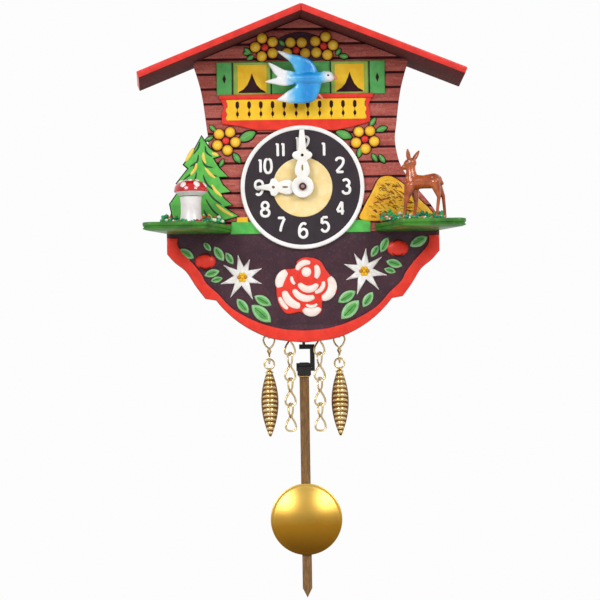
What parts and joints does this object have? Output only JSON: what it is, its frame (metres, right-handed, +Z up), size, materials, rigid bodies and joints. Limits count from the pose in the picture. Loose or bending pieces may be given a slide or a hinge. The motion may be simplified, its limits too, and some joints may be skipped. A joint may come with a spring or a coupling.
{
  "type": "cuckoo clock",
  "caption": "Miniature key-wound cuckoo clock: chalet front with painted relief, bobbing bird, dial and hands, side shelves with figures, cone weights on chains and a brass pendulum.",
  "frame": {"origin": "nail hole of the back board, on the wall plane", "axes": "+Z up, +X to the right of a person facing the clock, the front faces -Y and the back board rests on the wall at y = 0"},
  "size_m": [0.1398, 0.06, 0.2499],
  "materials": {
    "roof_paint": "satin red paint on wood, dark brown stain underneath",
    "front_relief": "moulded relief, hand-painted red-brown logs, green, yellow, red and white",
    "case_wood": "dark stained wood",
    "shelf_plastic": "glossy green moulded plastic",
    "grass_flock": "green flock tufts with white, orange and red specks",
    "dial_plastic": "dark face with white ring and numerals and a cream centre",
    "hand_plastic": "off-white carved plastic",
    "movement_brass": "plain brass",
    "movement_steel": "plain steel",
    "black_metal": "blackened wire",
    "rod_wood": "varnished flat wooden rod",
    "bob_brass": "brushed brass sheet",
    "chain_gold": "bright gilt wire",
    "cone_gold": "gilt cast cone with dark hollows",
    "bird_plastic": "glossy plastic, azure fading to white",
    "mushroom_red": "glossy red with white dots",
    "mushroom_white": "glossy white",
    "deer_plastic": "glossy reddish-brown plastic"
  },
  "bodies": {
    "case": {"roof_left": "roof_paint", "roof_right": "roof_paint", "front_panel": "front_relief", "case_side_left": "case_wood", "case_side_right": "case_wood", "case_bottom": "case_wood", "back_board": "case_wood", "mounting_rail_left": "case_wood", "mounting_rail_right": "case_wood", "shelf_left": "shelf_plastic", "shelf_right": "shelf_plastic", "grass_left": "grass_flock", "grass_right": "grass_flock", "mushroom_stem": "mushroom_white", "mushroom_cap": "mushroom_red", "deer": "deer_plastic", "dial": "dial_plastic", "front_plate": "movement_brass", "back_plate": "movement_brass", "pillar_1": "movement_steel", "pillar_2": "movement_steel", "pillar_3": "movement_steel", "pillar_4": "movement_steel", "movement_screw_left": "movement_steel", "movement_screw_right": "movement_steel", "click_spring": "movement_steel", "weight_eye_left": "chain_gold", "weight_eye_right": "chain_gold", "tail_eye_left": "chain_gold", "tail_eye_right": "chain_gold"},
    "minute": {"centre_arbor": "movement_steel", "centre_wheel": "movement_brass", "cannon_pinion": "movement_steel", "minute_hand": "hand_plastic", "hand_nut": "movement_brass"},
    "hour": {"hour_wheel": "movement_brass", "hour_hand": "hand_plastic"},
    "motion_wheel": {"minute_wheel": "movement_brass"},
    "third": {"third_wheel": "movement_brass"},
    "escape": {"escape_wheel": "movement_brass"},
    "barrel_drum": {"barrel": "movement_brass", "barrel_cover": "movement_brass", "mainspring": "movement_steel"},
    "winding": {"winding_arbor": "movement_steel", "ratchet_wheel": "movement_steel", "winding_key": "movement_brass"},
    "click_pawl": {"click": "movement_steel"},
    "anchor_rocker": {"anchor": "movement_steel", "crutch": "black_metal", "bird_wire": "movement_steel", "bird": "bird_plastic"},
    "pendulum": {"pendulum_leader": "black_metal", "pendulum_rod": "rod_wood"},
    "pendulum_bob": {"bob": "bob_brass"},
    "weight_left_hanging": {"weight_chain_left": "chain_gold", "weight_left": "cone_gold"},
    "weight_right_hanging": {"weight_chain_right": "chain_gold", "weight_right": "cone_gold"},
    "tail_left_hanging": {"tail_chain_left": "chain_gold"},
    "tail_right_hanging": {"tail_chain_right": "chain_gold"}
  },
  "joints": [
    {"name": "minute_turn", "type": "hinge", "parent": "case", "child": "minute", "pos_m": [0, -0.02, -0.046], "axis": [0, 1, 0], "continuous": true},
    {"name": "hour_turn", "type": "hinge", "parent": "case", "child": "hour", "pos_m": [0, -0.024, -0.046], "axis": [0, 1, 0], "continuous": true},
    {"name": "motion_wheel_turn", "type": "hinge", "parent": "case", "child": "motion_wheel", "pos_m": [-0.01, -0.022, -0.046], "axis": [0, 1, 0], "continuous": true},
    {"name": "third_turn", "type": "hinge", "parent": "case", "child": "third", "pos_m": [0.00773, -0.014, -0.03682], "axis": [0, 1, 0], "continuous": true},
    {"name": "escape_turn", "type": "hinge", "parent": "case", "child": "escape", "pos_m": [0, -0.014, -0.029], "axis": [0, 1, 0], "continuous": true},
    {"name": "barrel_turn", "type": "hinge", "parent": "case", "child": "barrel_drum", "pos_m": [-0.01414, -0.015, -0.06014], "axis": [0, 1, 0], "continuous": true},
    {"name": "key_wind", "type": "hinge", "parent": "case", "child": "winding", "pos_m": [-0.01414, -0.005, -0.06014], "axis": [0, 1, 0], "continuous": true},
    {"name": "click_lift", "type": "hinge", "parent": "case", "child": "click_pawl", "pos_m": [-0.02134, -0.0072, -0.05554], "axis": [0, 1, 0], "range_deg": [0, 15], "stiffness_Nm_per_rad": 0.01, "springref_deg": -11.46},
    {"name": "pendulum_swing", "type": "hinge", "parent": "case", "child": "pendulum", "pos_m": [0, -0.006, -0.02], "axis": [0, 1, 0], "range_deg": [-5, 5]},
    {"name": "anchor_rock", "type": "hinge", "parent": "case", "child": "anchor_rocker", "pos_m": [0, -0.015, -0.02], "axis": [0, 1, 0], "range_deg": [-5, 5]},
    {"name": "bob_adjust", "type": "slide", "parent": "pendulum", "child": "pendulum_bob", "axis": [0, 0, 1], "range_m": [-0.008, 0.008]},
    {"name": "weight_left_swing", "type": "hinge", "parent": "case", "child": "weight_left_hanging", "pos_m": [-0.015, -0.014, -0.09736], "axis": [0, 1, 0], "range_deg": [-8, 12]},
    {"name": "weight_right_swing", "type": "hinge", "parent": "case", "child": "weight_right_hanging", "pos_m": [0.015, -0.014, -0.09736], "axis": [0, 1, 0], "range_deg": [-12, 8]},
    {"name": "tail_left_swing", "type": "hinge", "parent": "case", "child": "tail_left_hanging", "pos_m": [-0.0063, -0.0225, -0.09436], "axis": [0, 1, 0], "range_deg": [-3.5, 12]},
    {"name": "tail_right_swing", "type": "hinge", "parent": "case", "child": "tail_right_hanging", "pos_m": [0.0063, -0.0225, -0.09436], "axis": [0, 1, 0], "range_deg": [-12, 3.5]}
  ],
  "couplings": [
    {"joint": "hour_turn", "follows": "minute_turn", "ratio": 0.083333},
    {"joint": "motion_wheel_turn", "follows": "minute_turn", "ratio": -0.33333},
    {"joint": "third_turn", "follows": "minute_turn", "ratio": -6},
    {"joint": "escape_turn", "follows": "minute_turn", "ratio": 36},
    {"joint": "barrel_turn", "follows": "minute_turn", "ratio": -0.2},
    {"joint": "anchor_rock", "follows": "pendulum_swing", "ratio": 1}
  ]
}
